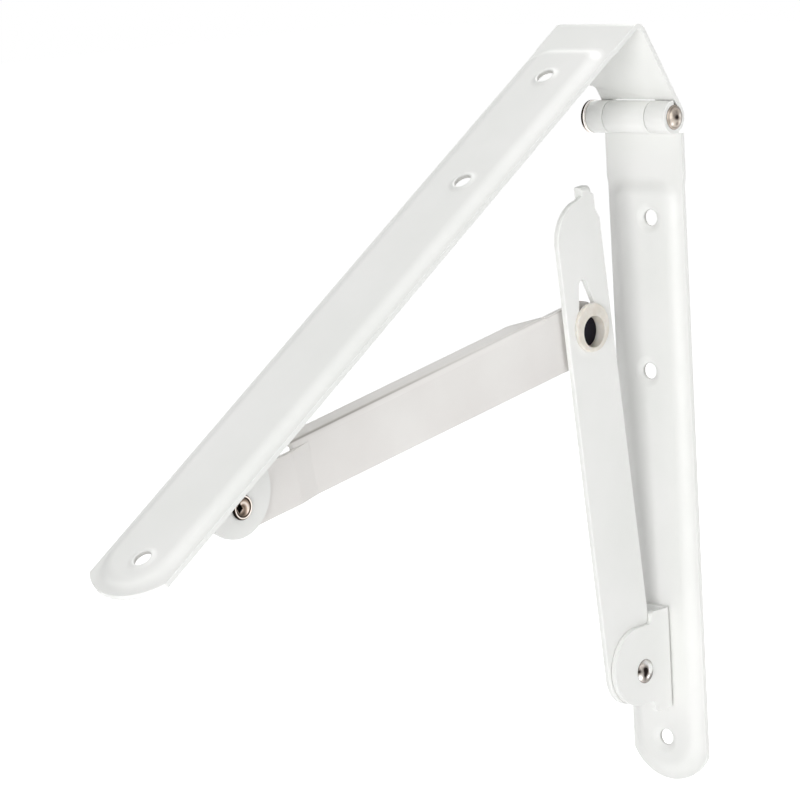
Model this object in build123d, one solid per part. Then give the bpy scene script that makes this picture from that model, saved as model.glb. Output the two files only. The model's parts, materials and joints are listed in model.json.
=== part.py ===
"""Folding shelf bracket: a wall bar, a shelf arm hinged to it and a two-bar stay between them.

Frame: millimetres, +Z up, +X to the right as seen from the room, -Y out into the room. The
origin is on the wall face (Y = 0) at mid-width, behind the flat strip just under the hinge
barrel. The arm stands part-way down, as it does while the bracket is being folded.

Every link is drawn in its simplest attitude about its own pivot (arm level, lever upright,
strut level), and is then turned about X and carried to its place.
"""

import os
from math import atan2, cos, degrees, hypot, radians, sin, sqrt, tan

from build123d import *

# ---------------------------------------------------------------- driving dimensions
SHEET = 2.0  # all pressed parts
WALL_WIDTH = 36.0  # wall bar beside the hinge
ARM_WIDTH = 37.0  # arm and its leg
PANEL_STEP = 0.5  # each side narrows by this along the embossed panel
REACH = 300.0  # wall face to the arm's tip, arm level
DROP = 251.2  # hinge pin to the wall bar's lower end
ARM_HEIGHT = 38.0  # hinge pin up to the arm's underside, arm level
REST_DROOP = 32.85  # the arm's slope below level as it stands here
STRIP_BELOW_PIN = 14.0  # hinge pin down to the origin

# embossed panel of both bars: its sides rise in an S from the flat rim
EMBOSS = 2.2
SLOPE_WIDTH = 6.8
SLOPE_ANGLE = 33.0
PANEL_RIM = 0.2
PANEL_CORNER = 9.0
WIDTH_STEP = 3.0  # length over which the bar narrows to the panel's width
WALL_PANEL_START = 22.3
WALL_END_RADIUS = 20.0
ARM_PANEL_START = 11.0
ARM_TIP_RADIUS = 24.0
TIP_RIM = 0.6  # flat rim beyond the panel's round nose

# dimpled screw holes: (distance, offset to +X); the last of each bar is placed from its end
WALL_SCREWS = [(37.4, 2.9), (94.7, -0.7)]
WALL_END_SCREW = (16.6, -0.6)
ARM_SCREWS = [(30.7, 0.0), (89.6, 3.0)]
ARM_END_SCREW = (14.95, 3.0)
SCREW_HOLE = 5.8
DIMPLE_DIA = 11.6
DIMPLE_DEPTH = 1.3
DIMPLE_LIP = 0.7  # rounding of the hole's lip on the raised side

# hinge
PIN_DIA = 8.0
PIN_CLEARANCE = 0.05  # radial, in every hole that a pin or rivet turns in
CENTRE_KNUCKLE = 19.4
CENTRE_SHIFT = -0.8  # middle of the centre knuckle, from mid-width
KNUCKLE_GAP = 0.3
ROLL_ANGLE = 305.0
ARM_BEND_RADIUS = 4.5
NECK_SETBACK = 2.3  # the leg narrows at its left edge, just above the knuckle
NECK_HEIGHT = 11.0
NECK_ROUND = 2.0
PIN_HEAD_DIA = 12.3
PIN_HEAD_LENGTH = 2.2
PIN_HEAD_ROUND = 0.5
PEEN_DIA = 9.0
PEEN_HEIGHT = 1.4
HEAD_GAP = 0.1  # under every head that a moving piece turns against

# stay: pivots
ARM_PIVOT_OUT = 237.4  # hinge pin to the arm rivet, along the arm
ARM_PIVOT_BELOW = 14.3  # panel's underside down to the arm rivet
WALL_PIVOT_OUT = 21.1  # wall face to the wall rivet
WALL_PIVOT_DOWN = 204.5
LEVER_LEAN = 6.41  # outward from upright, at rest
LEVER_LENGTH = 131.3  # rivet to elbow, along the lever
ELBOW_OUT = 4.2  # and across it

# stay: the sheets stand side by side across the bracket
LEVER_BACK = 1.3
LAYER_GAP = 0.2
STRUT_FRONT = -0.4

# lugs
LUG_BEND_RADIUS = 3.0
LUG_FOOT = 13.5
LUG_STEP_ROUND = 2.0
WALL_LUG_NOSE = 14.7
WALL_LUG_CENTRE = (2.2, 2.3)  # from the rivet: outward, up
WALL_LUG_HALF = 19.1
WALL_LUG_STEP = 11.6  # depth of the wide part, from the panel
ARM_LUG_NOSE = 15.3
ARM_LUG_CENTRE = (-1.5, 4.8)  # from the rivet: out along the arm, up

# lever, from its rivet or from the elbow
LEVER_FOOT_EDGE = 17.8
LEVER_OUT_EDGE = 16.4
LEVER_IN_EDGE = 8.1
LEVER_FOOT_UP = 1.8
LEVER_SHOULDER = 33.5  # elbow up to where the outward edge starts to curve
LEVER_CROWN_X = 3.0
LEVER_CROWN_UP = 49.3
LEVER_CROWN_RISE = 1.2
LEVER_CROWN_IN = 6.3
LEVER_CROWN_ROUND = 1.4
LEVER_NOTCH_UP = 43.0
LEVER_NOTCH_LENGTH = 3.4
TAB_WIDTH = 4.6
TAB_REACH = 1.8
TAB_RISE = 2.8
TAB_HEIGHT = 3.9
TAB_ROUND = 2.0
EDGE_ROUND = 0.5
SLOT_TIP_RADIUS = 2.1
SLOT_TIP_UP = 17.6
SLOT_TIP_OUT = 1.6

# elbow
EYELET_OUTER = 13.4
EYELET_BORE = 11.6
EYELET_FLANGE = 18.0
EYELET_SHIFT = 1.5  # the flange stands higher than the bore
EYELET_PROUD = 1.4
EYELET_ROUND = 0.6
EYELET_BACK = -0.1
EYELET_SHOULDER = 1.0  # behind the lever, beyond the bush
ELBOW_PIN_DEPTH = 4.0  # eyelet's face down to the pin's face
ELBOW_SHANK = 7.0
ELBOW_HEAD = 11.0
ELBOW_HEAD_HEIGHT = 1.5

# strut
STRUT_EYE = 9.6
STRUT_TOP = 11.3
STRUT_EYE_TOP = 8.6
STRUT_LOW_START = 9.6
STRUT_LOW_END = 11.5
STRUT_OVERHANG = 10.0  # metal beyond the elbow
JOGGLE_START = 29.0
JOGGLE_END = 38.4
JOGGLE_ROUND = 5.0
FLANGE_DEPTH = 8.5
FLANGE_START = 31.2
FLANGE_END = 163.7
FLANGE_TAPER = 11.0
FLANGE_BEND = 2.6
FLANGE_CORNER = 5.0

# rivets
DOME_SHANK = 5.0
DOME_DIA = 9.0
DOME_HEIGHT = 1.7
FLUSH_DIA = 7.4
FLUSH_DEPTH = 1.1
TUBE_SHANK = 5.6
TUBE_BORE = 4.0
TUBE_HEAD = 8.5
TUBE_LIP = 1.3
TUBE_TAIL = 8.0
TUBE_TAIL_LIP = 1.0
TUBE_ROLL = 0.8  # rounding of both rolled ends

# ---------------------------------------------------------------- derived sizes and places
BARREL_R = PIN_DIA / 2 + PIN_CLEARANCE + SHEET
PIN_Y = -BARREL_R
PIN_Z = STRIP_BELOW_PIN
ARM_LENGTH = REACH - BARREL_R
CENTRE_LEFT = CENTRE_SHIFT - CENTRE_KNUCKLE / 2
CENTRE_RIGHT = CENTRE_SHIFT + CENTRE_KNUCKLE / 2
SLOPE_BLEND = (SLOPE_WIDTH - EMBOSS / tan(radians(SLOPE_ANGLE))) / 2
SLOPE_RADIUS = SLOPE_BLEND / tan(radians(SLOPE_ANGLE / 2))
ARM_UNDERSIDE = ARM_HEIGHT + EMBOSS
ARM_PIVOT_UP = ARM_UNDERSIDE - ARM_PIVOT_BELOW
WALL_HOLES = [*WALL_SCREWS, (DROP - WALL_END_SCREW[0], WALL_END_SCREW[1])]
ARM_HOLES = [*ARM_SCREWS, (ARM_LENGTH - ARM_END_SCREW[0], ARM_END_SCREW[1])]
FINE = 0.01  # tolerance when picking edges by place
LEVER_FRONT = LEVER_BACK + SHEET
WALL_LUG_BACK = LEVER_FRONT + LAYER_GAP
WALL_LUG_FRONT = WALL_LUG_BACK + SHEET
STRUT_EYE_FRONT = LEVER_BACK - LAYER_GAP


def turned(y, z, angle):
    """The point (y, z) turned about the X axis."""
    c, s = cos(radians(angle)), sin(radians(angle))
    return y * c - z * s, y * s + z * c


_y, _z = turned(-ARM_PIVOT_OUT, ARM_PIVOT_UP, REST_DROOP)
ARM_PIVOT = (PIN_Y + _y, PIN_Z + _z)
WALL_PIVOT = (-WALL_PIVOT_OUT, PIN_Z - WALL_PIVOT_DOWN)
_y, _z = turned(-ELBOW_OUT, LEVER_LENGTH, LEVER_LEAN)
ELBOW = (WALL_PIVOT[0] + _y, WALL_PIVOT[1] + _z)
STRUT_LENGTH = hypot(ELBOW[0] - ARM_PIVOT[0], ELBOW[1] - ARM_PIVOT[1])
STRUT_RISE = degrees(atan2(ELBOW[1] - ARM_PIVOT[1], ELBOW[0] - ARM_PIVOT[0]))


# ---------------------------------------------------------------- drawing helpers
def across(face, start, thickness):
    """A face drawn in YZ, given thickness across the bracket from X = start."""
    return Pos(start, 0, 0) * extrude(Plane.YZ * face, amount=thickness)


def turned_piece(profile):
    """A piece turned about the X axis, from a closed list of (x, radius) points."""
    return revolve(make_face(Polyline(*profile, close=True)), axis=Axis.X)


def hole_across(radius, y=0):
    """A cutter along X, longer than the bracket is wide."""
    return Pos(0, y, 0) * Rot(Y=90) * Cylinder(radius, 2 * ARM_WIDTH)


def shank(x0, x1, dia):
    """A plain round length along X."""
    return Pos((x0 + x1) / 2, 0, 0) * Rot(Y=90) * Cylinder(dia / 2, abs(x1 - x0))


def domed_head(base_x, dia, height):
    """A peened head whose flat side is at base_x and whose dome looks to +X."""
    ball = (dia**2 / 4 + height**2) / (2 * height)
    centre, top = base_x + height - ball, base_x + height
    half = atan2(dia / 2, ball - height) / 2
    crown = ThreePointArc(
        (base_x, dia / 2), (centre + ball * cos(half), ball * sin(half)), (top, 0))
    profile = make_face([crown, Polyline((top, 0), (base_x, 0), (base_x, dia / 2))])
    return revolve(profile, axis=Axis.X)


# ---------------------------------------------------------------- the two pressed bars
def bar_outline(width, end, end_radius, panel_start):
    """Plan of a bar lying flat with the hinge pin on X = Y = 0, running along +Y."""
    wide, narrow = width / 2, width / 2 - PANEL_STEP
    step = panel_start + WIDTH_STEP
    shoulder = end - end_radius + sqrt(end_radius**2 - narrow**2)
    sides = Polyline(
        (narrow, shoulder), (narrow, step), (wide, panel_start), (wide, 0),
        (-wide, 0), (-wide, panel_start), (-narrow, step), (-narrow, shoulder),
    )
    return make_face(sides + ThreePointArc((-narrow, shoulder), (0, end), (narrow, shoulder)))


def pressed_face(width, end, panel_start):
    """A block whose top is the show face of a bar: flat, with the panel standing up in an S."""
    foot = width / 2 - PANEL_STEP - PANEL_RIM
    half = foot - SLOPE_BLEND
    nose = end - TIP_RIM - foot
    length = nose - panel_start - SLOPE_BLEND
    plan = Pos(0, nose - length / 2) * Rectangle(2 * half, length) + Pos(0, nose) * Circle(half)
    plan = fillet(plan.vertices().sort_by(Axis.Y)[:2], PANEL_CORNER - SLOPE_BLEND)
    slab = Pos(0, end / 2, 0) * Box(2 * width, end + 2 * width, 2 * SHEET)
    block = slab + extrude(Pos(0, 0, SHEET) * plan, amount=EMBOSS, taper=90 - SLOPE_ANGLE)

    def ring(height):
        """Edges of the panel at one height, without the slab's own."""
        level = block.edges().filter_by_position(Axis.Z, height - FINE, height + FINE)
        return level.filter_by(lambda edge: edge.bounding_box().size.X < 2 * foot
                               and abs(edge.center().X) < foot)

    return fillet(ring(SHEET + EMBOSS) + ring(SHEET), SLOPE_RADIUS)


def pressed_bar(width, end, end_radius, panel_start):
    """A bar lying flat: back at Z = 0, flat strip SHEET thick, panel EMBOSS higher."""
    face = pressed_face(width, end, panel_start)
    plan = extrude(bar_outline(width, end, end_radius, panel_start), amount=2 * SHEET + EMBOSS)
    return (face & plan) - Pos(0, 0, -SHEET) * face


def dimple(side):
    """Metal and cutter of a dimpled hole in the panel at the origin, sunk from `side`."""
    hole, rim, depth = SCREW_HOLE / 2, DIMPLE_DIA / 2, side * DIMPLE_DEPTH

    def funnel(level, other):
        """Revolved region between the funnel that starts at `level` and the plane `other`."""
        low = level - depth
        wall = TangentArc((rim, level), (hole, low), tangent=(-1, 0))
        rest = Polyline((hole, low), (0, low), (0, other), (rim, other), (rim, level))
        return revolve(Plane.XZ * make_face([wall, rest]), axis=Axis.Z)

    sunk, raised = (SHEET, 0) if side > 0 else (0, SHEET)
    middle = SHEET / 2
    bump = funnel(raised, middle)
    cutter = funnel(sunk, sunk + side * SHEET) + Cylinder(hole, 4 * (SHEET + DIMPLE_DEPTH))
    return Pos(0, 0, EMBOSS) * bump, Pos(0, 0, EMBOSS) * cutter


def drilled(bar, screws, side, mirror):
    """A bar with its dimpled screw holes; `mirror` turns +X offsets into the bar's own X."""
    metal, cutter = dimple(side)
    raised = EMBOSS - side * DIMPLE_DEPTH + (0 if side > 0 else SHEET)
    for along, offset in screws:
        place = Pos(mirror * offset, along, 0)
        bar = bar + place * metal - place * cutter
    lips = bar.edges().filter_by_position(Axis.Z, raised - FINE, raised + FINE).filter_by(GeomType.CIRCLE)
    return fillet(lips, DIMPLE_LIP)


def knuckle(x0, x1):
    """A rolled knuckle about the pin, for a strip lying flat with its back at Z = 0."""
    start = -90 - ROLL_ANGLE
    inner, outer = BARREL_R - SHEET, BARREL_R
    arcs = [CenterArc((0, outer), r, start, ROLL_ANGLE) for r in (inner, outer)]
    ends = [Line(arcs[0] @ t, arcs[1] @ t) for t in (0, 1)]
    return across(make_face(arcs + ends), x0, x1 - x0)


# wall bar, lying flat, then stood against the wall; its own X runs to the left
wall_bar = pressed_bar(WALL_WIDTH, DROP, WALL_END_RADIUS, WALL_PANEL_START)
shoulders = Pos(0, 0, SHEET / 2) * Box(2 * WALL_WIDTH, 2 * (BARREL_R - HEAD_GAP), 3 * SHEET)
shoulders = shoulders - Pos(-CENTRE_SHIFT, 0, 0) * Box(CENTRE_KNUCKLE, 4 * BARREL_R, 8 * SHEET)
wall_bar = wall_bar - shoulders + knuckle(-CENTRE_RIGHT, -CENTRE_LEFT)
wall_bar = drilled(wall_bar, WALL_HOLES, 1, -1)
wall_bar = Plane((0, 0, PIN_Z), x_dir=(-1, 0, 0), z_dir=(0, -1, 0)) * wall_bar


def on_arm(shape):
    """Carries a piece drawn with the arm level and the pin on the X axis to its place."""
    return Pos(0, PIN_Y, PIN_Z) * Rot(X=REST_DROOP) * shape


# shelf arm: the panel, the bend and the leg that stands on the pin
arm_panel = pressed_bar(ARM_WIDTH, ARM_LENGTH, ARM_TIP_RADIUS, ARM_PANEL_START)
arm_panel = drilled(arm_panel, ARM_HOLES, -1, -1)
arm_panel = Pos(0, 0, ARM_HEIGHT) * Rot(Z=180) * arm_panel
back, front, top = BARREL_R, BARREL_R - SHEET, ARM_HEIGHT + SHEET
bend = Polyline((0, top), (back, top), (back, 0), (front, 0), (front, ARM_HEIGHT), (0, ARM_HEIGHT), close=True)
bend = make_face(bend)
bend = fillet(bend.vertices().sort_by_distance((back, top))[:1], ARM_BEND_RADIUS)
bend = fillet(bend.vertices().sort_by_distance((front, ARM_HEIGHT))[:1], ARM_BEND_RADIUS - SHEET)
leg = across(bend, -ARM_WIDTH / 2, ARM_WIDTH)
slot_left, slot_right = CENTRE_LEFT - KNUCKLE_GAP, CENTRE_RIGHT + KNUCKLE_GAP
slot_top = sqrt(BARREL_R**2 - front**2) + KNUCKLE_GAP
slot = Pos((slot_left + slot_right) / 2, 0, 0) * Box(slot_right - slot_left, 4 * BARREL_R, 2 * slot_top)
neck = Pos(-ARM_WIDTH / 2, back, 0) * Box(2 * NECK_SETBACK, 4 * BARREL_R, 2 * NECK_HEIGHT)
neck = fillet(neck.edges().filter_by(Axis.Y).group_by(Axis.Z)[-1], NECK_ROUND)
leg = leg - slot - neck
lay_leg = Plane((0, BARREL_R, 0), x_dir=(1, 0, 0), z_dir=(0, -1, 0))
leg = leg + lay_leg * (knuckle(-ARM_WIDTH / 2, slot_left) + knuckle(slot_right, ARM_WIDTH / 2))
shelf_arm = on_arm(arm_panel + leg)


# ---------------------------------------------------------------- hinge pin
def hinge_pin_piece():
    """Pin with a flanged head at the left and a peened head at the right."""
    left, right = -ARM_WIDTH / 2 - HEAD_GAP, ARM_WIDTH / 2 + HEAD_GAP
    head = shank(left - PIN_HEAD_LENGTH, left, PIN_HEAD_DIA)
    head = fillet(head.edges().group_by(Axis.X)[0], PIN_HEAD_ROUND)
    pin = head + shank(left, right, PIN_DIA) + domed_head(right, PEEN_DIA, PEEN_HEIGHT)
    return Pos(0, PIN_Y, PIN_Z) * pin


# ---------------------------------------------------------------- lugs of the stay
def lug(back, centre, nose, height, half, step):
    """A plate hanging from a panel at Z = height, round at `centre`, its foot turned to -X.

    The plate is `nose` in radius and, within `step` of the panel, `half` wide each side.
    """
    y, z = centre
    plan = Pos(y, z) * Circle(nose) + Pos(y, (z + height) / 2) * Rectangle(2 * nose, height - z)
    if half > nose:
        plan = plan + Pos(y, height - step / 2) * Rectangle(2 * half, step)
        corners = plan.vertices().filter_by_position(Axis.Y, height - step - FINE, height - step + FINE)
        plan = fillet(corners, LUG_STEP_ROUND)
    front = back + SHEET
    section = Polyline(
        (front, height), (front, z - nose), (back, z - nose), (back, height - SHEET),
        (front - LUG_FOOT, height - SHEET), (front - LUG_FOOT, height), close=True,
    )
    section = make_face(section)
    section = fillet(section.vertices().sort_by_distance((front, height))[:1], LUG_BEND_RADIUS)
    inner = section.vertices().sort_by_distance((back, height - SHEET))[:1]
    section = fillet(inner, LUG_BEND_RADIUS - SHEET)
    sheet = Pos(0, y, 0) * extrude(Plane.XZ * section, amount=half, both=True)
    foot = Pos(front - LUG_FOOT / 2, y, height) * Box(LUG_FOOT, 2 * half, 2 * SHEET)
    foot = fillet(foot.edges().filter_by(Axis.Z).group_by(Axis.X)[0], LUG_BEND_RADIUS)
    foot = foot & Pos(back - LUG_FOOT, 0, 0) * Box(2 * LUG_FOOT, 4 * half, 4 * height)
    return sheet & (across(plan, back, SHEET) + foot)


out, up = WALL_LUG_CENTRE
wall_lug = lug(
    WALL_LUG_BACK, (-up, -out), WALL_LUG_NOSE, WALL_PIVOT_OUT - SHEET - EMBOSS, WALL_LUG_HALF,
    WALL_LUG_STEP)
wall_lug = wall_lug - hole_across(DOME_SHANK / 2 + PIN_CLEARANCE)
wall_lug = Pos(0, *WALL_PIVOT) * Rot(X=-90) * wall_lug

out, up = ARM_LUG_CENTRE
arm_lug = lug(LEVER_BACK, (-out, up), ARM_LUG_NOSE, ARM_PIVOT_BELOW, ARM_LUG_NOSE, 0)
arm_lug = arm_lug - shank(LEVER_BACK - SHEET, LEVER_FRONT + SHEET, TUBE_SHANK + 2 * PIN_CLEARANCE)
arm_lug = on_arm(Pos(0, -ARM_PIVOT_OUT, ARM_PIVOT_UP) * arm_lug)


# ---------------------------------------------------------------- lever, upright about its rivet
def lever_outline():
    """Side view: round foot, tapering edges, curved shoulder, rounded crown and a notch."""
    foot, out, inn = -LEVER_FOOT_EDGE, -LEVER_OUT_EDGE, LEVER_IN_EDGE
    mid, low = (foot + inn) / 2, (inn - foot) / 2
    shoulder, crown = LEVER_LENGTH + LEVER_SHOULDER, LEVER_LENGTH + LEVER_CROWN_UP
    notch = LEVER_LENGTH + LEVER_NOTCH_UP
    plan = make_face([
        ThreePointArc((inn, LEVER_FOOT_UP), (mid, LEVER_FOOT_UP - low), (foot, LEVER_FOOT_UP)),
        Line((foot, LEVER_FOOT_UP), (out, shoulder)),
        TangentArc((out, shoulder), (-LEVER_CROWN_X, crown - LEVER_CROWN_RISE), tangent=(0, 1)),
        Polyline(
            (-LEVER_CROWN_X, crown - LEVER_CROWN_RISE), (0, crown), (LEVER_CROWN_IN, crown),
            (LEVER_CROWN_IN, notch), (inn, notch - LEVER_NOTCH_LENGTH), (inn, LEVER_FOOT_UP),
        ),
    ])
    corner = plan.vertices().sort_by_distance((LEVER_CROWN_IN, crown))[:1]
    return fillet(corner, LEVER_CROWN_ROUND)


def lever_piece():
    """Flat lever with its keyhole slot, pivot hole and the small tab turned back at the crown."""
    lever = across(lever_outline(), LEVER_BACK, SHEET)
    front = lever.faces().sort_by(Axis.X)[-1]
    lever = fillet(front.edges(), EDGE_ROUND)
    tip = Pos(-SLOT_TIP_OUT, SLOT_TIP_UP) * Circle(SLOT_TIP_RADIUS)
    eye = Circle(EYELET_OUTER / 2 + PIN_CLEARANCE)
    keyhole = make_hull((eye + tip).edges())
    lever = lever - at_elbow(across(keyhole, LEVER_BACK - SHEET, 3 * SHEET))
    lever = lever - hole_across(DOME_SHANK / 2 + PIN_CLEARANCE) - flush_head(PIN_CLEARANCE)
    depth = SHEET + TAB_REACH
    middle = LEVER_LENGTH + LEVER_CROWN_UP + TAB_RISE - TAB_HEIGHT / 2
    tab = Pos(LEVER_FRONT - depth / 2, TAB_WIDTH / 2, middle) * Box(depth, TAB_WIDTH, TAB_HEIGHT)
    tab = fillet(tab.edges().filter_by(Axis.Y).group_by(Axis.Z)[-1].sort_by(Axis.X)[-1:], TAB_ROUND)
    return lever + tab


def flush_head(clearance):
    """Countersunk tail of the wall rivet, flush with the lever's back."""
    wide, narrow = FLUSH_DIA / 2 + clearance, DOME_SHANK / 2 + clearance
    neck = LEVER_BACK + FLUSH_DEPTH
    return turned_piece([(LEVER_BACK, 0), (LEVER_BACK, wide), (neck, narrow), (neck, 0)])


def at_lever(shape):
    """Carries a piece drawn upright about the lever's rivet to its place."""
    return Pos(0, *WALL_PIVOT) * Rot(X=LEVER_LEAN) * shape


def at_elbow(shape):
    """Carries a piece drawn about the elbow to its place on the upright lever."""
    return Pos(0, -ELBOW_OUT, LEVER_LENGTH) * shape


lever = at_lever(lever_piece())
wall_rivet = domed_head(WALL_LUG_FRONT + HEAD_GAP, DOME_DIA, DOME_HEIGHT)
wall_rivet = wall_rivet + shank(LEVER_BACK + FLUSH_DEPTH, WALL_LUG_FRONT + HEAD_GAP, DOME_SHANK)
wall_rivet = at_lever(wall_rivet + flush_head(0))


# ---------------------------------------------------------------- elbow, about its own axis
def elbow_eyelet_piece():
    """Nylon bush with a round flange on the show side and a shoulder behind the lever."""
    face, body = LEVER_FRONT + EYELET_PROUD, EYELET_OUTER
    flange = Pos(0, 0, EYELET_SHIFT) * shank(LEVER_FRONT, face, EYELET_FLANGE)
    flange = fillet(flange.edges().group_by(Axis.X)[-1], EYELET_ROUND)
    bush = flange + shank(LEVER_BACK, LEVER_FRONT, body) + shank(EYELET_BACK, LEVER_BACK, body + 2 * EYELET_SHOULDER)
    return bush - hole_across(EYELET_BORE / 2)


elbow_eyelet = at_lever(at_elbow(elbow_eyelet_piece()))
pin_face = LEVER_FRONT + EYELET_PROUD - ELBOW_PIN_DEPTH
elbow_pin = at_lever(at_elbow(shank(EYELET_BACK, pin_face, EYELET_BORE - 2 * PIN_CLEARANCE)))


# ---------------------------------------------------------------- strut, level from its arm rivet
def strut_outline():
    """Side view: round eye at the arm rivet, blade widening to a round end past the elbow."""
    low_slope = Line((0, -STRUT_LOW_START), (STRUT_LENGTH, -STRUT_LOW_END))
    end_radius = (STRUT_TOP + STRUT_LOW_END) / 2
    end_y = STRUT_LENGTH + STRUT_OVERHANG - end_radius
    low = low_slope @ (end_y / STRUT_LENGTH)
    end = (STRUT_LENGTH + STRUT_OVERHANG, (STRUT_TOP + low.Y) / 2)
    blade = make_face([
        Polyline((end_y, STRUT_TOP), (FLANGE_START, STRUT_TOP), (FLANGE_START, STRUT_EYE_TOP),
                 (0, STRUT_EYE_TOP), (0, -STRUT_LOW_START), (low.X, low.Y)),
        ThreePointArc((low.X, low.Y), end, (end_y, STRUT_TOP)),
    ])
    return blade + Circle(STRUT_EYE)


def strut_piece():
    """Blade with a joggle that brings its eye under the arm lug, and a stiffening flange."""
    face, eye_face, far = STRUT_FRONT, STRUT_EYE_FRONT, STRUT_LENGTH + 2 * STRUT_OVERHANG
    edge = [(-2 * STRUT_EYE, eye_face), (JOGGLE_START, eye_face), (JOGGLE_END, face), (far, face)]
    behind = [(y, x - SHEET) for y, x in reversed(edge)]
    plan = make_face(Polyline(*[(x, y) for y, x in edge + behind], close=True))
    turns = plan.vertices().filter_by_position(Axis.Y, FINE, STRUT_LENGTH)
    plan = fillet(turns, JOGGLE_ROUND)
    sheet = extrude(plan, amount=2 * STRUT_LOW_END, both=True)
    web = sheet & across(strut_outline(), STRUT_FRONT - 3 * SHEET, 6 * SHEET)

    back, edge_x = face - SHEET, face - FLANGE_DEPTH
    low = STRUT_TOP - SHEET
    section = make_face(Polyline(
        (face, STRUT_TOP), (face, low - SHEET), (back, low - SHEET), (back, low), (edge_x, low),
        (edge_x, STRUT_TOP), close=True))
    section = fillet(section.vertices().sort_by_distance((face, STRUT_TOP))[:1], FLANGE_BEND)
    section = fillet(section.vertices().sort_by_distance((back, low))[:1], FLANGE_BEND - SHEET)
    flange = extrude(Plane.XZ * section, amount=-far)
    trim = make_face(Polyline(
        (face + SHEET, FLANGE_START), (edge_x, FLANGE_START), (edge_x, FLANGE_END - FLANGE_TAPER),
        (back, FLANGE_END), (face + SHEET, FLANGE_END), close=True))
    trim = fillet(trim.vertices().sort_by_distance((edge_x, FLANGE_END - FLANGE_TAPER))[:1], FLANGE_CORNER)
    flange = flange & extrude(trim, amount=2 * STRUT_LOW_END, both=True)
    corner = Pos(face, (FLANGE_START + FLANGE_END) / 2, STRUT_TOP) * Box(
        2 * FLANGE_BEND, FLANGE_END - FLANGE_START, 2 * FLANGE_BEND)
    return (web - corner) + flange


strut = strut_piece()
strut = strut - hole_across(TUBE_SHANK / 2 + PIN_CLEARANCE)
strut = strut - hole_across(ELBOW_SHANK / 2 + PIN_CLEARANCE, STRUT_LENGTH)


def at_strut(shape):
    """Carries a piece drawn level from the arm rivet to its place."""
    return Pos(0, *ARM_PIVOT) * Rot(X=STRUT_RISE) * shape


strut = at_strut(strut)
strut_back = STRUT_FRONT - SHEET
elbow_rivet = shank(strut_back, STRUT_FRONT, ELBOW_SHANK)
elbow_rivet = elbow_rivet + Rot(Z=180) * domed_head(-strut_back, ELBOW_HEAD, ELBOW_HEAD_HEIGHT)
elbow_rivet = at_strut(Pos(0, STRUT_LENGTH, 0) * elbow_rivet)


# ---------------------------------------------------------------- tubular rivet at the arm lug
def tube_rivet_piece():
    """Hollow rivet through the arm lug and the strut's eye, rolled over at both ends."""
    head, tail = LEVER_FRONT + HEAD_GAP, STRUT_EYE_FRONT - SHEET - HEAD_GAP
    bore, shaft = TUBE_BORE / 2, TUBE_SHANK / 2
    ring = turned_piece([
        (tail - TUBE_TAIL_LIP, bore), (head + TUBE_LIP, bore), (head + TUBE_LIP, TUBE_HEAD / 2),
        (head, TUBE_HEAD / 2), (head, shaft), (tail, shaft), (tail, TUBE_TAIL / 2),
        (tail - TUBE_TAIL_LIP, TUBE_TAIL / 2),
    ])
    outer = ring.edges().filter_by(GeomType.CIRCLE).filter_by(lambda edge: edge.radius > shaft + FINE)
    ends = outer.group_by(Axis.X)
    return fillet(ends[0] + ends[-1], TUBE_ROLL)


arm_rivet = on_arm(Pos(0, -ARM_PIVOT_OUT, ARM_PIVOT_UP) * tube_rivet_piece())

# ---------------------------------------------------------------- write the pieces
PIECES = {
    "wall_bar": wall_bar,
    "shelf_arm": shelf_arm,
    "hinge_pin": hinge_pin_piece(),
    "wall_lug": wall_lug,
    "wall_rivet": wall_rivet,
    "arm_lug": arm_lug,
    "arm_rivet": arm_rivet,
    "lever": lever,
    "elbow_eyelet": elbow_eyelet,
    "elbow_pin": elbow_pin,
    "strut": strut,
    "elbow_rivet": elbow_rivet,
}

os.makedirs("parts", exist_ok=True)
for name, piece in PIECES.items():
    export_step(piece, f"parts/{name}.step")
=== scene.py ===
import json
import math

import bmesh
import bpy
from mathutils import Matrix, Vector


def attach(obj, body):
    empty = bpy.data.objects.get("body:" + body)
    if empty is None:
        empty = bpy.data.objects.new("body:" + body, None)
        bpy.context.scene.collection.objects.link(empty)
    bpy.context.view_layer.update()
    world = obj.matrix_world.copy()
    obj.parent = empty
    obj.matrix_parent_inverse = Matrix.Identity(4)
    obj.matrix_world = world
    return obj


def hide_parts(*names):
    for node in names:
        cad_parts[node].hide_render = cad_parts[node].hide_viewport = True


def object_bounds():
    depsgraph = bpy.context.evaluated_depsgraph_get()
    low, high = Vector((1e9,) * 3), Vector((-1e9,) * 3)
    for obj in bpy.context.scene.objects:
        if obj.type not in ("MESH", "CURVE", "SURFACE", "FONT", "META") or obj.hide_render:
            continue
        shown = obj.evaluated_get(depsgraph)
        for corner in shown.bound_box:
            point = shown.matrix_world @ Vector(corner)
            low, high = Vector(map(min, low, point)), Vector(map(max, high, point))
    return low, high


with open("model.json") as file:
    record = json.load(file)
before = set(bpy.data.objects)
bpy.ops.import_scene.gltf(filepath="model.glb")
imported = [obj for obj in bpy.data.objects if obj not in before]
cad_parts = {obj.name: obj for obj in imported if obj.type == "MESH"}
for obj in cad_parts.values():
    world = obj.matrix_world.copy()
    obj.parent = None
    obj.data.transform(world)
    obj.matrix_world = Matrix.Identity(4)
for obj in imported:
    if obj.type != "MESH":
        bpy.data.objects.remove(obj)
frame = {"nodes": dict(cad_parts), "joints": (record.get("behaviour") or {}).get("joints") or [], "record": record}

# %% [markdown]
# # A white folding shelf bracket
# The bracket is two pressed steel bars on a rolled hinge, with a two-link stay that folds between
# them. The construction model brings every piece at its true size. This script gives each piece
# its finish, turns again the three heads whose faces carry hammer and punch marks, and then
# lights the bracket the way a plain catalogue picture would.

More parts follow.
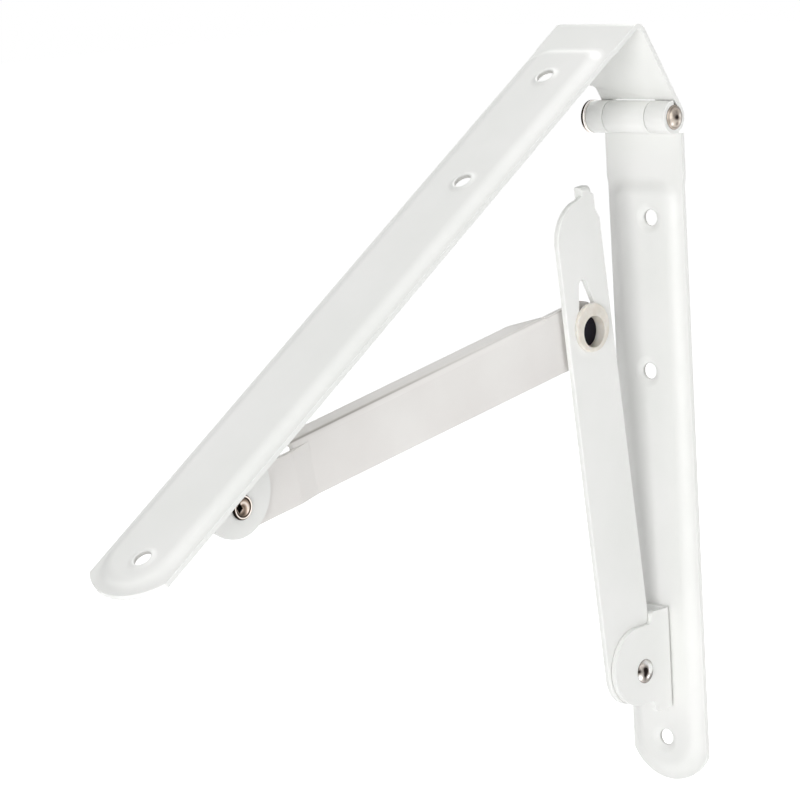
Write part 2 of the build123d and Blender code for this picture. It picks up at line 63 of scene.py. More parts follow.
MM = 0.001
cad_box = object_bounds()
nodes = frame["nodes"]
joints = {joint["name"]: joint for joint in frame["joints"]}
print("construction model, mm:", [round(v / MM, 1) for v in cad_box[1] - cad_box[0]])

# %% [markdown]
# ## Colour values
# A maker's swatch is read on a screen as sRGB hex, while a render adds up light in linear values.
# Colours could be typed in as linear numbers, but nobody can picture those. One function turns a
# swatch into light instead, so that every colour below can be checked by eye.

# %% From a swatch to light
def linear(swatch):
    """A swatch such as "#E8E8E4" as linear RGBA."""
    parts = [int(swatch[i:i + 2], 16) / 255 for i in (1, 3, 5)]
    return [p / 12.92 if p <= 0.04045 else ((p + 0.055) / 1.055) ** 2.4 for p in parts] + [1.0]


print("a light grey swatch in linear light:", [round(v, 3) for v in linear("#EBEBE8")[:3]])

# %% [markdown]
# ## One helper for node trees
# A finish in Blender is a tree of shader nodes: places go in at one end, patterns and colours are
# made from them, and a surface comes out. Clicking them together is quick to try but can't be read
# back later, and plain code needs four lines for each node. So one function adds a node with all
# its values and its links, and every finish below is written with it.

# %% One node, one material
def add(tree, kind, settings=None, sources=None):
    """Adds one node. An input goes by its name, or by its number where two share one name.

    `settings` are its own values, the values of its inputs, and a colour ramp's stops from first
    to last as (position, swatch). `sources` are the outputs that feed its inputs.
    """
    node = tree.nodes.new(kind)
    for key, value in (settings or {}).items():
        if key == "stops":
            points = node.color_ramp.elements
            for point, (position, swatch) in zip(points, (value[0], value[-1])):
                point.position = position
                point.color = linear(swatch)
            for position, swatch in value[1:-1]:
                points.new(position).color = linear(swatch)
        elif isinstance(key, int) or key in node.inputs:
            node.inputs[key].default_value = value
        else:
            setattr(node, key, value)
    for key, source in (sources or {}).items():
        tree.links.new(source, node.inputs[key])
    return node


def start_material(name):
    """An empty material and its tree."""
    material = bpy.data.materials.new(name)
    material.use_nodes = True
    material.node_tree.nodes.clear()
    return material, material.node_tree


kinds = [name for name in dir(bpy.types) if name.startswith("ShaderNode")]
print("kinds of shader node to choose from:", len(kinds))

# %% [markdown]
# ## White lacquer on pressed steel
# The bars, the links and the lugs are sprayed white and baked. The coat flows into a smooth satin
# skin with a very low, slow waviness, and its tone drifts a little along a bar. A coat could be
# modelled as its own shell, but at under a tenth of a millimetre only its gloss shows, so it is a
# surface: a dielectric of index 1.5 with a soft gloss, and the waviness is a bump. Each lacquer also
# takes a function that paints shade into its colour by place.

# %% The lacquer
PEEL_MM = 1.6  # one soft swell of the baked coat
PEEL_HEIGHT_MM = 0.02
DRIFT_MM = 38.0  # slow change of tone along a bar


def lacquer(name, light, dark, roughness, shade_by_place):
    """Baked white lacquer between two close tones, with painted shade added by place."""
    material, tree = start_material(name)
    # Object coordinates stay with a piece when its joint moves.
    place = add(tree, "ShaderNodeTexCoord").outputs["Object"]
    drift = add(tree, "ShaderNodeTexNoise", {"Scale": 1 / (DRIFT_MM * MM), "Detail": 3.0}, {"Vector": place})
    tone = add(tree, "ShaderNodeValToRGB", {"stops": [(0.3, dark), (0.7, light)]}, {
        "Fac": drift.outputs["Fac"]})
    # Painted shade: the colour is greyed by place.
    colour = shade_by_place(tree, place, tone.outputs["Color"])
    peel = add(tree, "ShaderNodeTexNoise", {"Scale": 1 / (PEEL_MM * MM), "Detail": 1.5}, {"Vector": place})
    bump = add(tree, "ShaderNodeBump", {"Strength": 0.12, "Distance": PEEL_HEIGHT_MM * MM}, {
        "Height": peel.outputs["Fac"]})
    sheen = add(tree, "ShaderNodeMapRange", {"To Min": roughness * 0.85, "To Max": roughness * 1.2}, {
        "Value": peel.outputs["Fac"]})
    coat = add(tree, "ShaderNodeBsdfPrincipled", {"IOR": 1.5, "Specular IOR Level": 0.3}, {
        "Base Color": colour, "Roughness": sheen.outputs["Result"], "Normal": bump.outputs["Normal"]})
    add(tree, "ShaderNodeOutputMaterial", sources={"Surface": coat.outputs["BSDF"]})
    return material


print("lacquer, mm:", {"swell": PEEL_MM, "height": PEEL_HEIGHT_MM, "drift": DRIFT_MM})

# %% [markdown]
# ## Painted shade at the screw holes
# The rim of each punched hole is painted greyer than the dimple around it: a thin grey ring of
# painted shade, which makes a white hole readable in a white bar. It could be painted by hand, or
# drawn with more geometry. Here it follows from the frame: the record gives the centre and the
# radius of each screw hole, and the coat is grey where a point lies that far from the centre.

# %% Rims of the holes
HOLES = [mount for mount in frame["record"]["mounts"] if mount["kind"] == "bore"]
RIM_START_MM = 0.05  # outside the hole's wall
RIM_WIDTH_MM = 0.4
HOLE_SHADE = 0.6  # share of painted shade in the colour at the very edge


def painted_hole_shade(tree, place, colour):
    """Paints a grey ring of shade around each screw hole."""
    for hole in HOLES:
        edge_mm = hole["dims"]["r_mm"] + RIM_START_MM
        far = add(tree, "ShaderNodeVectorMath", {"operation": "DISTANCE", 1: hole["pos_m"]}, {0: place})
        share = add(tree, "ShaderNodeMapRange", {
            "From Min": edge_mm * MM, "From Max": (edge_mm + RIM_WIDTH_MM) * MM,
            "To Min": HOLE_SHADE, "To Max": 0.0}, {"Value": far.outputs["Value"]})
        # Painted shade: grey mixed into the colour close to the hole's edge.
        grey = add(tree, "ShaderNodeMixRGB", {"Color2": linear("#86847F")}, {
            "Fac": share.outputs["Result"], "Color1": colour})
        colour = grey.outputs["Color"]
    return colour


# Clean cool white: bars and lugs read as bright sheet with soft, wide highlights.
white_lacquer = lacquer("white_lacquer_on_steel", "#F6F6F4", "#F0F1EE", 0.42, painted_hole_shade)
print("holes with a thin rim:", [hole["name"] for hole in HOLES])

# %% [markdown]
# ## Painted shade at the strut's fold
# The strut is stiffened by a folded flange. Over the bend the coat carries a painted shade: one
# fine brownish line, strongest near the arm. The line could be a groove in the mesh, but it has no
# depth. So the shader turns each point into its place along and above the strut, and greys the
# coat close to one straight line.

# %% The fold line
STRUT_AT = joints["strut_fold"]["pos_m"]
STRUT_RISE = 10.265  # the strut's slope at rest, degrees
FOLD_START = (30.0, 10.8)  # along the strut and above it, mm from its rivet
FOLD_END = (172.0, 10.9)
FOLD_WIDTH = 0.42  # mm to either side
FOLD_SHADE = 0.64  # share of painted shade in the colour in the middle of the line
FADE_FROM, FADE_TO = 60.0, 125.0  # mm along the strut, where the line weakens
FADE_LEFT = 0.4


def along_strut(tree, place):
    """Place along and above the strut, in millimetres from its rivet."""
    moved = add(tree, "ShaderNodeMapping", {
        "vector_type": "POINT", "Location": [-v / MM for v in STRUT_AT], "Scale": [1 / MM] * 3}, {
        "Vector": place})
    level = add(tree, "ShaderNodeVectorRotate", {
        "rotation_type": "X_AXIS", "Angle": -math.radians(STRUT_RISE)}, {"Vector": moved.outputs["Vector"]})
    parts = add(tree, "ShaderNodeSeparateXYZ", sources={"Vector": level.outputs["Vector"]})
    return parts.outputs["Y"], parts.outputs["Z"]


def painted_fold_shade(tree, place, colour):
    """Paints a fine line of shade along the strut's fold."""
    along, above = along_strut(tree, place)
    line = add(tree, "ShaderNodeMapRange", {
        "From Min": FOLD_START[0], "From Max": FOLD_END[0],
        "To Min": FOLD_START[1], "To Max": FOLD_END[1]}, {"Value": along})
    off = add(tree, "ShaderNodeMath", {"operation": "SUBTRACT"}, {0: above, 1: line.outputs["Result"]})
    gap = add(tree, "ShaderNodeMath", {"operation": "ABSOLUTE"}, {0: off.outputs["Value"]})
    share = add(tree, "ShaderNodeMapRange", {
        "From Min": 0.0, "From Max": FOLD_WIDTH, "To Min": FOLD_SHADE, "To Max": 0.0}, {
        "Value": gap.outputs["Value"]})
    fade = add(tree, "ShaderNodeMapRange", {
        "From Min": FADE_FROM, "From Max": FADE_TO, "To Min": 1.0, "To Max": FADE_LEFT}, {"Value": along})
    amount = add(tree, "ShaderNodeMath", {"operation": "MULTIPLY"}, {
        0: share.outputs["Result"], 1: fade.outputs["Result"]})
    # Painted shade: a brownish grey mixed into the colour along the line.
    grey = add(tree, "ShaderNodeMixRGB", {"Color2": linear("#62564F")}, {
        "Fac": amount.outputs["Value"], "Color1": colour})
    return grey.outputs["Color"]


# The strut's own batch of lacquer is a shade warmer and darker, so it stands off from the bars.
warm_lacquer = lacquer("warm_white_lacquer_on_strut", "#EFEDEA", "#E9E6E3", 0.34, painted_fold_shade)
print("fold line, mm:", round(math.dist(FOLD_START, FOLD_END), 1), "long,", 2 * FOLD_WIDTH, "wide")

# %% [markdown]
# ## Nickel on the pin and rivets
# The pin and rivets are steel, barrel plated with dull nickel: a warm grey metal that takes broad
# soft reflections. Where the setting punch struck, the colour carries painted shade in the dents and
# painted highlights on the facets between them. In a white room a dent alone would reflect only more
# white, so the turned heads below also carry a value on each vertex, `mark`: 0 is plain plate, 1
# painted shade at the bottom of a dent, -1 a painted highlight on a facet. The metal gets its colour
# from that value, and a fine bump and a change of roughness from the scratches.

# %% Plated metal and dark steel
TUMBLE_MM = 0.35  # scratches from tumbling, drawn coarser than they are so that they show
SCRATCH_DEPTH_MM = 0.02


def plated(name, bright, plain, painted_dark, roughness):
    """Tumbled and plated metal whose tone follows the mark value of each vertex: painted highlights and shade."""
    material, tree = start_material(name)
    place = add(tree, "ShaderNodeTexCoord").outputs["Object"]
    scratches = add(tree, "ShaderNodeTexNoise", {"Scale": 1 / (TUMBLE_MM * MM), "Detail": 4.0}, {
        "Vector": place})
    marks = add(tree, "ShaderNodeAttribute", {"attribute_name": "mark"})
    level = add(tree, "ShaderNodeMapRange", {"From Min": -1.0, "From Max": 1.0}, {
        "Value": marks.outputs["Fac"]})
    # The bright stop is a painted highlight, the dark stop painted shade.
    tone = add(tree, "ShaderNodeValToRGB", {"stops": [(0.1, bright), (0.5, plain), (0.95, painted_dark)]}, {
        "Fac": level.outputs["Result"]})
    patina = add(tree, "ShaderNodeMixRGB", {"blend_type": "MULTIPLY", "Fac": 0.25}, {
        "Color1": tone.outputs["Color"], "Color2": scratches.outputs["Color"]})
    bump = add(tree, "ShaderNodeBump", {"Strength": 0.25, "Distance": SCRATCH_DEPTH_MM * MM}, {
        "Height": scratches.outputs["Fac"]})
    worn = add(tree, "ShaderNodeMapRange", {"To Min": roughness * 0.8, "To Max": roughness * 1.3}, {
        "Value": scratches.outputs["Fac"]})
    metal = add(tree, "ShaderNodeBsdfPrincipled", {"Metallic": 1.0}, {
        "Base Color": patina.outputs["Color"], "Roughness": worn.outputs["Result"],
        "Normal": bump.outputs["Normal"]})
    add(tree, "ShaderNodeOutputMaterial", sources={"Surface": metal.outputs["BSDF"]})
    return material


# Beige grey on the pin: an even, warm head with one dent painted dark as shade.
dull_nickel = plated("dull_nickel_plate", "#FFFCF8", "#B8ADA2", "#2A211D", 0.24)
# Neutral grey on the hammered rivet: hard painted highlights beside nearly black painted shade.
grey_nickel = plated("nickel_plate_painted_light_and_shade", "#FFFFFF", "#ABA49E", "#1E1816", 0.22)
# Brown on the hollow rivet: an old bronze cast in the dish, and rings of painted shade and highlight.
bronzed_nickel = plated("bronzed_nickel_plate", "#F4ECE4", "#948274", "#14110F", 0.3)
# Almost black inside the eyelet: painted shade that gives the eye the depth of the bore.
bore_shade_steel = plated("steel_painted_dark_as_bore_shade", "#3A3840", "#24222A", "#111014", 0.45)
print("scratches, mm:", TUMBLE_MM, "wide and", SCRATCH_DEPTH_MM, "deep")

# %% [markdown]
# ## Nylon at the elbow
# The eyelet is natural nylon, moulded: cream, a little translucent and satin. Paint of the same
# colour would look like plaster, because its shaded side would be too dark. In nylon light enters,
# comes out nearby and softens the shade, so the surface gets some subsurface scattering with a
# reach of about a millimetre and a half.

# %% The nylon
FLOW_MM = 3.0  # faint flow marks from moulding
FLOW_DEPTH_MM = 0.03
REACH_MM = 1.5  # how far light travels inside

# Warm cream with a soft shaded side: the only piece that doesn't read as metal.
natural_nylon, nylon_tree = start_material("natural_moulded_nylon")
place = add(nylon_tree, "ShaderNodeTexCoord").outputs["Object"]
flow = add(nylon_tree, "ShaderNodeTexNoise", {"Scale": 1 / (FLOW_MM * MM), "Detail": 2.0}, {
    "Vector": place})
tone = add(nylon_tree, "ShaderNodeValToRGB", {"stops": [(0.35, "#DFD9CF"), (0.65, "#E8E3DB")]}, {
    "Fac": flow.outputs["Fac"]})
skin = add(nylon_tree, "ShaderNodeBump", {"Strength": 0.15, "Distance": FLOW_DEPTH_MM * MM}, {
    "Height": flow.outputs["Fac"]})
nylon = add(nylon_tree, "ShaderNodeBsdfPrincipled", {
    "IOR": 1.53, "Roughness": 0.38, "Subsurface Weight": 0.5, "Subsurface Radius": (1.0, 0.8, 0.6),
    "Subsurface Scale": REACH_MM * MM}, {
    "Base Color": tone.outputs["Color"], "Normal": skin.outputs["Normal"]})
add(nylon_tree, "ShaderNodeOutputMaterial", sources={"Surface": nylon.outputs["BSDF"]})
print("materials:", [m.name for m in bpy.data.materials if m.use_nodes])

# %% [markdown]
# ## Finish on the pressed pieces
# The lacquered pieces keep the construction model's own solids. Sheared sheet has a slightly
# rounded edge, and the lacquer rounds it more. The edge could be rounded in the shader alone, but
# then the outline stays sharp. So each piece gets a small bevel: the mesh is welded first, because
# it comes with its faces apart, and only edges sharper than a fold are cut.

# %% Lacquer and soft edges
EDGE_MM = 0.3
WELD_MM = 0.002
SHARP_DEGREES = 40


def finish_piece(name, material, edge=0.0):
    """Gives one construction piece its material, and rounds its sharp edges by `edge` mm."""
    piece = nodes[name]
    piece.data.materials.clear()
    piece.data.materials.append(material)
    if edge:
        weld = piece.modifiers.new("weld", "WELD")
        weld.merge_threshold = WELD_MM * MM
        soft = piece.modifiers.new("soft edges", "BEVEL")
        soft.width, soft.segments = edge * MM, 2
        soft.limit_method, soft.angle_limit = "ANGLE", math.radians(SHARP_DEGREES)
        soft.harden_normals = True


for name in ("wall_bar", "shelf_arm", "wall_lug", "arm_lug", "lever"):
    finish_piece(name, white_lacquer, EDGE_MM)
finish_piece("strut", warm_lacquer, EDGE_MM)
finish_piece("elbow_eyelet", natural_nylon)
finish_piece("elbow_pin", bore_shade_steel)
finish_piece("elbow_rivet", dull_nickel)
print("pieces with soft edges:", [name for name, piece in nodes.items() if piece.modifiers])

# %% [markdown]
# ## Turned heads with their marks
# The pin and the two rivets show struck heads at the right, which aren't the clean domes that
# the construction model holds. They could be sculpted, or get a bump map, but a bump doesn't
# catch light at the rim. Each is made again as one closed turned piece instead: its outline is
# spun about the axis, and its show face is pushed in where the punch went. The same dents also
# give the mark value that the plate's colour follows: painted shade and painted highlights.

# %% Dents and domes
RING_STEP = 0.12  # mm between the rings of a domed face


def struck(u, v, dents):
    """Depth and mark at (u, v) on a head, from soft round dents (u, v, radius, depth, mark)."""
    depth = mark = 0.0
    for at_u, at_v, radius, deep, dark in dents:
        share = math.exp(-((u - at_u) ** 2 + (v - at_v) ** 2) / radius ** 2)
        depth += deep * share
        # The mark paints shade where it is positive and a highlight where it is negative.
        mark += dark * share
    return depth, mark


def dome(base, radius, height, rim_shade):
    """Rings of a domed face from its rim to the axis; the two outermost get the rim's painted shade."""
    ball = (radius ** 2 + height ** 2) / (2 * height)
    steps = int(radius / RING_STEP)
    rings = []
    for n in range(steps + 1):
        r = radius * (1 - n / steps)
        x = base + math.sqrt(ball ** 2 - r ** 2) - ball + height
        rings.append((x, r, rim_shade if n < 2 else 0.0, n > 0))
    return rings


print("rings of a dome 9 mm wide:", len(dome(0.0, 4.5, 1.4, 0.0)))

# %% Turning a closed mesh
SEGMENTS = 120
CREASE_DEGREES = 38


def turned_mesh(name, outline, face):
    """A closed mesh turned about X from an outline of (x, radius, mark, on the struck face).

    `face` gives depth and extra mark at (u, v, radius); u runs to +Y and v up. All in mm.
    """
    work = bmesh.new()
    layer = work.verts.layers.float.new("mark")
    rings = []
    for x, radius, mark, on_face in outline:
        ring = []
        for k in range(SEGMENTS if radius else 1):
            turn = 2 * math.pi * k / SEGMENTS
            u, v = radius * math.cos(turn), radius * math.sin(turn)
            depth, extra = face(u, v, radius) if on_face else (0.0, 0.0)
            vertex = work.verts.new(((x - depth) * MM, u * MM, v * MM))
            vertex[layer] = max(-1.0, min(1.0, mark + extra))
            ring.append(vertex)
        rings.append(ring)
    for low, high in zip(rings, rings[1:]):
        for k in range(SEGMENTS):
            after = (k + 1) % SEGMENTS
            corners = [low[k % len(low)], low[after % len(low)],
                       high[after % len(high)], high[k % len(high)]]
            loop = [vertex for n, vertex in enumerate(corners) if vertex not in corners[:n]]
            work.faces.new(loop).smooth = True
    bmesh.ops.recalc_face_normals(work, faces=work.faces)
    for edge in work.edges:
        edge.smooth = edge.calc_face_angle(0) < math.radians(CREASE_DEGREES)
    mesh = bpy.data.meshes.new(name)
    work.to_mesh(mesh)
    work.free()
    return mesh


print("a turned piece has a corner every", 360 / SEGMENTS, "degrees")

# %% Standing it in the bracket
def spun(name, outline, face, joint, lean, body, node, material):
    """Turns a piece at a joint's place, leaning about X, and puts it in place of a node's solid."""
    mesh = turned_mesh(name, outline, face)
    piece = bpy.data.objects.new(name, mesh)
    bpy.context.scene.collection.objects.link(piece)
    piece.location = joints[joint]["pos_m"]
    piece.rotation_euler = (math.radians(lean), 0, 0)
    mesh.materials.append(material)
    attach(piece, body)
    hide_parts(node)
    print(name, "has", len(mesh.polygons), "faces and", len(outline), "rings")


for name, joint in joints.items():
    print(name, "turns at, mm:", [round(v / MM, 1) for v in joint["pos_m"]])

# %% [markdown]
# ## The hinge pin
# The pin passes through the three knuckles. Its left head is a flat flange with a rounded rim,
# painted with dark and light bands of reflection. Its right end was peened over: a low dome with a
# faint groove inside the rim and one deep punch mark, both painted dark as shade. One turned piece
# holds both ends, so the outline runs from the left face through the shank, hidden in the knuckles,
# to the dome.

# %% Hinge pin
LEFT_END, LEFT_SEAT, RIGHT_SEAT = -20.8, -18.6, 18.6  # along the pin, all lengths in mm
SHANK_R = 4.0
FLANGE_R = 6.15
FLANGE_ROUND = 0.5  # radius of the flange's outer edge
PAINTED_RIM_R = 4.6  # the flange's face is painted darker from here outwards, a painted reflection
PEEN_R = 4.5
PEEN_HEIGHT = 1.4
GROOVE_R, GROOVE_WIDTH, GROOVE_DEPTH = 3.7, 0.28, 0.07
# Dents of the peened end: u, v, radius, depth, mark (painted shade where positive, highlight where negative).
STAR = [(0.2, 0.1, 0.85, 0.2, 1.2), (-0.7, 0.0, 0.7, 0.1, 0.4), (0.1, 1.9, 0.8, 0.12, 0.35),
        (0.2, -2.3, 0.8, 0.15, 0.6), (1.9, 0.5, 0.8, 0.0, -0.7), (-1.5, 0.9, 1.2, 0.0, 0.35),
        (-2.3, -2.4, 0.8, 0.0, -0.6), (1.8, -1.6, 0.8, 0.0, -0.35)]
# Painted light along the flange's rim: x, mark. A dark band and a bright one of painted reflection,
# then a fine dark line of painted shade.
RIM_PAINTED_LIGHT = [(-20.1, 1.0), (-19.65, 1.0), (-19.5, -0.7), (-19.3, -1.0), (-19.15, -1.0),
             (-19.05, 0.5), (-18.9, 0.5), (-18.8, -0.7), (LEFT_SEAT, -0.7)]


def peened_end(u, v, radius):
    """A groove inside the rim and a star of punch marks in the middle."""
    depth, mark = struck(u, v, STAR)
    groove = math.exp(-((radius - GROOVE_R) / GROOVE_WIDTH) ** 2)
    # The groove is painted darker as shade, and the face outside it a little darker still.
    return depth + GROOVE_DEPTH * groove, mark + 0.4 * groove + 0.05 + 0.15 * (radius > GROOVE_R)


def painted_rim_light(v, radius):
    """A painted highlight: the flange's rim is painted bright towards its underside."""
    return 0.0, -0.9 * max(0.0, min(1.0, (-0.35 - v / radius) / 0.4))


def pin_face(u, v, radius):
    """The pin's struck end and its flange, told apart by their radius."""
    return painted_rim_light(v, radius) if radius > PEEN_R else peened_end(u, v, radius)


# The flange's face is painted darker towards its rim and darkest on the rounded edge: painted reflection.
pin_outline = [(LEFT_END, 0.0, 0.3, False), (LEFT_END, PAINTED_RIM_R, 0.3, False),
               (LEFT_END, FLANGE_R - FLANGE_ROUND, 0.8, False)]
for degrees in range(15, 91, 15):
    turn = math.radians(degrees)
    pin_outline.append((LEFT_END + FLANGE_ROUND - FLANGE_ROUND * math.cos(turn),
                        FLANGE_R - FLANGE_ROUND + FLANGE_ROUND * math.sin(turn), 1.0, True))
pin_outline += [(x, FLANGE_R, mark, True) for x, mark in RIM_PAINTED_LIGHT]
pin_outline += [(LEFT_SEAT, SHANK_R, 0.5, False), (RIGHT_SEAT, SHANK_R, 0.0, False)]
pin_outline += dome(RIGHT_SEAT, PEEN_R, PEEN_HEIGHT, 0.45)
spun("struck_hinge_pin", pin_outline, pin_face, "arm_fold", 0, "wall", "hinge_pin", dull_nickel)

# %% [markdown]
# ## The wall rivet
# This solid rivet holds the lever to the wall lug. Its head was hammered, not pressed: an uneven
# dome with a few flat blows, some painted dark as shade and others painted bright as highlights. A
# noise would look like cast metal, so every blow is listed one by one.

# %% Wall rivet
TAIL_END, TAIL_SEAT, HEAD_SEAT = 1.3, 2.4, 5.6  # along the rivet from the middle of the bracket
TAIL_R, RIVET_R, HEAD_R = 3.7, 2.5, 4.5
HEAD_HEIGHT = 1.7
# Hammer blows: u, v, radius, depth, mark (painted shade where positive, highlight where negative).
BLOWS = [(-1.1, 0.8, 1.35, 0.16, 1.5), (-1.6, -1.1, 1.1, 0.14, 0.9), (-1.2, -2.7, 1.0, 0.1, 0.5),
         (1.7, 0.8, 1.5, 0.15, -2.2), (-0.1, -1.9, 0.8, 0.1, -1.0), (3.2, -1.6, 1.1, 0.1, 1.7),
         (1.4, -3.0, 1.0, 0.1, 0.7), (-4.0, 0.6, 0.8, 0.1, 0.9), (-3.8, -1.9, 1.0, 0.0, -1.4),
         (0.0, 3.3, 1.6, 0.0, -0.5), (-2.8, 1.9, 1.0, 0.0, 0.35)]


def hammered_face(u, v, radius):
    """A dome with a few flat blows."""
    return struck(u, v, BLOWS)


rivet_outline = [(TAIL_END, 0.0, 0.2, False), (TAIL_END, TAIL_R, 0.2, False),
                 (TAIL_SEAT, RIVET_R, 0.2, False), (HEAD_SEAT, RIVET_R, 0.5, False)]
rivet_outline += dome(HEAD_SEAT, HEAD_R, HEAD_HEIGHT, 0.35)
spun("struck_wall_rivet", rivet_outline, hammered_face, "lever_fold", 0, "wall", "wall_rivet", grey_nickel)

# %% [markdown]
# ## The arm rivet
# The rivet at the arm is hollow. Its rolled rim carries a ring of painted shadow and a ring of
# painted highlight, and inside it is a dish in which the setting tool left a square hole, painted dark
# as shade, and curved drag marks. The rim is part of the outline, the square is pushed into the dish,
# and the drag marks are a spiral in the mark value, because they are too fine to have any depth.

# %% Arm rivet
ARM_SLOPE = joints["arm_fold"]["range_deg"][1]  # at rest, because the arm rises this far to level
DISH_EDGE, DISH_R, DISH_DEPTH = 4.35, 3.05, 0.9
DISH_RINGS = 25
SOCKET_U, SOCKET_V = -0.9, 0.3  # the square isn't quite in the middle
SOCKET_HALF = 1.15  # half its side
SOCKET_DEPTH = 1.0
SOCKET_SOFT = 0.18  # width of its rounded edge
DRAG_MARK = 0.5  # strength of the drag marks
DRAG_TWIST = 2.4  # how far they turn, radians per mm outwards
# Tail, shank and rolled rim: x, radius, mark; the rim gets a ring of painted shadow and one of highlight.
RIM = [(-2.0, 0.0, 0.4), (-2.0, 3.2, 0.2), (-1.77, 3.77, 0.2), (-1.2, 4.0, 0.3), (-1.0, 4.0, 0.6),
       (-1.0, 2.8, 0.6), (3.4, 2.8, 0.9), (3.4, 4.1, 1.0), (3.6, 4.25, 1.0), (4.2, 4.25, 1.0),
       (4.5, 4.05, 1.0), (4.65, 3.9, 0.5), (4.7, 3.75, -0.8), (4.7, 3.5, -0.8), (4.55, 3.3, 0.7),
       (4.4, 3.2, 1.0)]


def socket_face(u, v, radius):
    """The dish with the square that the setting tool left, and its drag marks."""
    from_middle = max(abs(u - SOCKET_U), abs(v - SOCKET_V))
    inside = max(0.0, min(1.0, (SOCKET_HALF - from_middle) / SOCKET_SOFT + 0.5))
    drag = DRAG_MARK * math.sin(2 * math.atan2(v, u) + DRAG_TWIST * radius)
    # Inside the square the colour is painted dark: painted shade in the hollow.
    return SOCKET_DEPTH * inside, 0.95 * inside + (1 - inside) * drag


arm_outline = [(x, radius, mark, False) for x, radius, mark in RIM] + [(DISH_EDGE, DISH_R, 0.6, True)]
for n in range(1, DISH_RINGS + 1):
    r = DISH_R * (1 - n / DISH_RINGS)
    arm_outline.append((DISH_EDGE - DISH_DEPTH * (1 - (r / DISH_R) ** 2), r, 0.1, True))
spun("struck_arm_rivet", arm_outline, socket_face, "strut_fold", ARM_SLOPE, "arm", "arm_rivet",
     bronzed_nickel)

# %% [markdown]
# ## White floor and white room
# A catalogue picture shows the bracket in white space. Lamps strong enough to burn a grey paper to
# white would burn the lacquer too, and its soft tones would be gone. So the floor and the room
# give off little light, but whoever looks at them, straight on, in a gloss or through a clear
# piece, sees white. The floor lies well below the bracket and takes its shadow.

# %% The floor
FLOOR_DROP_MM = 120  # below the bracket's lowest point
FLOOR_SIZE = 12  # m, so that its edge never shows
PAPER_GLOW = 0.85
PURE_WHITE = (1, 1, 1, 1)


def looked_at(tree):
    """1 for the camera's rays and for those in a gloss or through a clear piece, else 0."""
    rays = add(tree, "ShaderNodeLightPath").outputs
    seen = add(tree, "ShaderNodeMath", {"operation": "MAXIMUM"}, {
        0: rays["Is Camera Ray"], 1: rays["Is Glossy Ray"]})
    seen_through = add(tree, "ShaderNodeMath", {"operation": "MAXIMUM"}, {
        0: seen.outputs["Value"], 1: rays["Is Transmission Ray"]})
    return seen_through.outputs["Value"]


bpy.ops.mesh.primitive_plane_add(size=FLOOR_SIZE, location=(0, 0, cad_box[0].z - FLOOR_DROP_MM * MM))
floor = bpy.context.object
floor.name = "floor"
# White paper: it glows just enough to read as white space, and keeps a faint shadow.
floor_white, floor_tree = start_material("white_floor")
floor_seen = looked_at(floor_tree)
matt = add(floor_tree, "ShaderNodeBsdfDiffuse", {"Color": linear("#F2F2F2")}).outputs["BSDF"]
glow = add(floor_tree, "ShaderNodeEmission", {"Color": PURE_WHITE, "Strength": PAPER_GLOW})
both = add(floor_tree, "ShaderNodeAddShader", sources={0: matt, 1: glow.outputs["Emission"]})
shown = add(floor_tree, "ShaderNodeMixShader", sources={
    "Fac": floor_seen, 1: matt, 2: both.outputs["Shader"]})
add(floor_tree, "ShaderNodeOutputMaterial", sources={"Surface": shown.outputs["Shader"]})
floor.data.materials.append(floor_white)
print("floor at", round(floor.location.z / MM, 1), "mm")

# %% The white room
ROOM_LIGHT = 0.2  # what the walls send onto the bracket
ROOM_SHOWN = 1.0  # what they look like

world = bpy.data.worlds.new("white_room")
bpy.context.scene.world = world
world.use_nodes = True
room_tree = world.node_tree
room_tree.nodes.clear()
room_seen = looked_at(room_tree)
dim = add(room_tree, "ShaderNodeBackground", {"Color": PURE_WHITE, "Strength": ROOM_LIGHT})
white = add(room_tree, "ShaderNodeBackground", {"Color": PURE_WHITE, "Strength": ROOM_SHOWN})
walls = add(room_tree, "ShaderNodeMixShader", sources={
    "Fac": room_seen, 1: dim.outputs["Background"], 2: white.outputs["Background"]})
add(room_tree, "ShaderNodeOutputWorld", sources={"Surface": walls.outputs["Shader"]})
print("the room sends", ROOM_LIGHT, "and shows", ROOM_SHOWN)

# %% [markdown]
# ## Lamps
# The pressed panels only read through the tone of their slopes, so no slope may be as bright as
# the panel's flat. Even light from all sides would flatten them, and a sun would draw hard
# shadows. So there are five large soft lamps. The main one stands low in front, right of the
# middle, and leaves the left slopes grey. A lamp at the right lights the faces of the stay, weak
# ones at the left and in front lift the shade, and a high one behind lights what faces up: the
# arm, and the flange of the strut.

# %% Lamps
# Azimuth (0 in front, 90 to the right) and elevation in degrees, distance and size in m, power in W.
LAMPS = {
    "main_lamp": (24, 3, 1.6, 0.6, 11.7),
    "right_lamp": (95, 12, 1.6, 1.0, 6.1),
    "left_lamp": (-35, 12, 1.8, 1.2, 1.6),
    "front_lamp": (5, 30, 1.8, 1.2, 2.8),
    "back_lamp": (180, 55, 1.6, 1.0, 21.5),
}
centre = (cad_box[0] + cad_box[1]) / 2


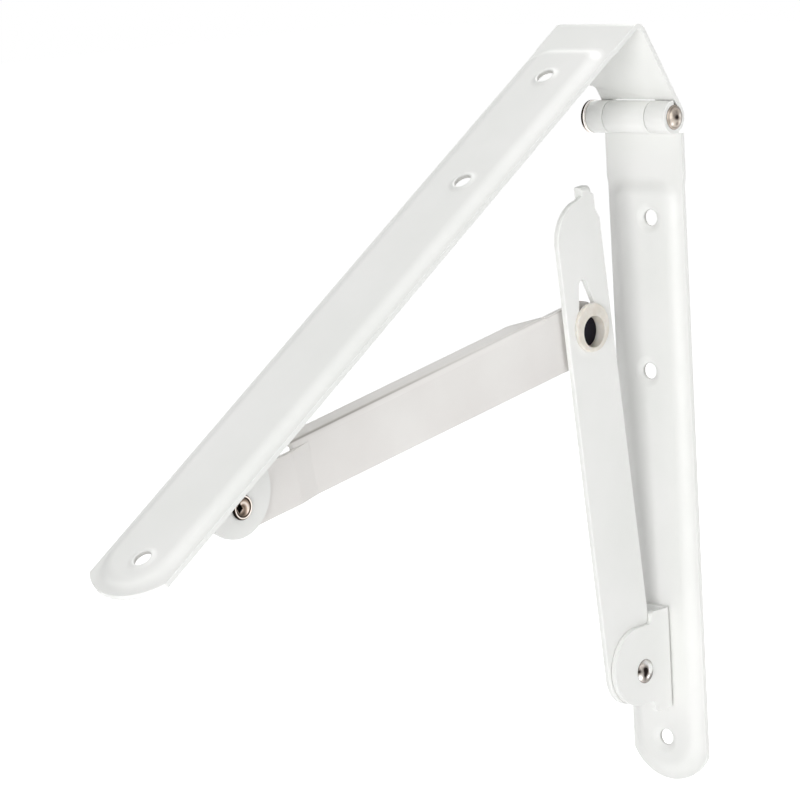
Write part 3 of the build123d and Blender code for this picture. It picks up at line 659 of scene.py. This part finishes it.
def towards(azimuth, elevation):
    """Unit vector from the bracket towards a place around it, angles in degrees."""
    a, e = math.radians(azimuth), math.radians(elevation)
    return Vector((math.sin(a) * math.cos(e), -math.cos(a) * math.cos(e), math.sin(e)))


for name, (azimuth, elevation, distance, size, power) in LAMPS.items():
    data = bpy.data.lights.new(name, "AREA")
    data.shape, data.size, data.energy = "SQUARE", size, power
    lamp = bpy.data.objects.new(name, data)
    bpy.context.scene.collection.objects.link(lamp)
    away = towards(azimuth, elevation)
    lamp.location = centre + away * distance
    lamp.rotation_euler = (-away).to_track_quat("-Z", "Y").to_euler()
print("lamps:", len(LAMPS), "with", round(sum(values[-1] for values in LAMPS.values()), 1), "W")

# %% [markdown]
# ## Camera
# The bracket is seen from the right and a little from above, through a long lens, so that its
# edges run almost parallel. A camera is mostly aimed by a constraint, but that keeps it level, and
# this one is tilted a few degrees. So its three axes are worked out and written as one matrix.

# %% Camera
LENS_MM = 152.535
SENSOR_MM = 36.0
CAMERA_MM = (791.6, -965.1, 112.6)
AZIMUTH, ELEVATION, ROLL = 43.76, 9.09, -3.27
CLIP_START, CLIP_END = 0.05, 50  # m

camera_data = bpy.data.cameras.new("camera")
camera_data.lens, camera_data.sensor_width = LENS_MM, SENSOR_MM
camera_data.clip_start, camera_data.clip_end = CLIP_START, CLIP_END
camera = bpy.data.objects.new("camera", camera_data)
bpy.context.scene.collection.objects.link(camera)
back = towards(AZIMUTH, ELEVATION)
level = towards(AZIMUTH + 90, 0)
roll = math.radians(ROLL)
right = math.cos(roll) * level + math.sin(roll) * back.cross(level)
turn = Matrix((right, back.cross(right), back)).transposed()
camera.matrix_world = Matrix.Translation(Vector(CAMERA_MM) * MM) @ turn.to_4x4()
bpy.context.scene.camera = camera
bpy.context.scene.view_settings.view_transform = "Standard"
print("camera to bracket, mm:", round((camera.matrix_world.translation - centre).length / MM))

# %% [markdown]
# ## Sizes, and the end
# The dressed bracket has to stay as big as the construction model, or it wouldn't fit where the
# model fits.
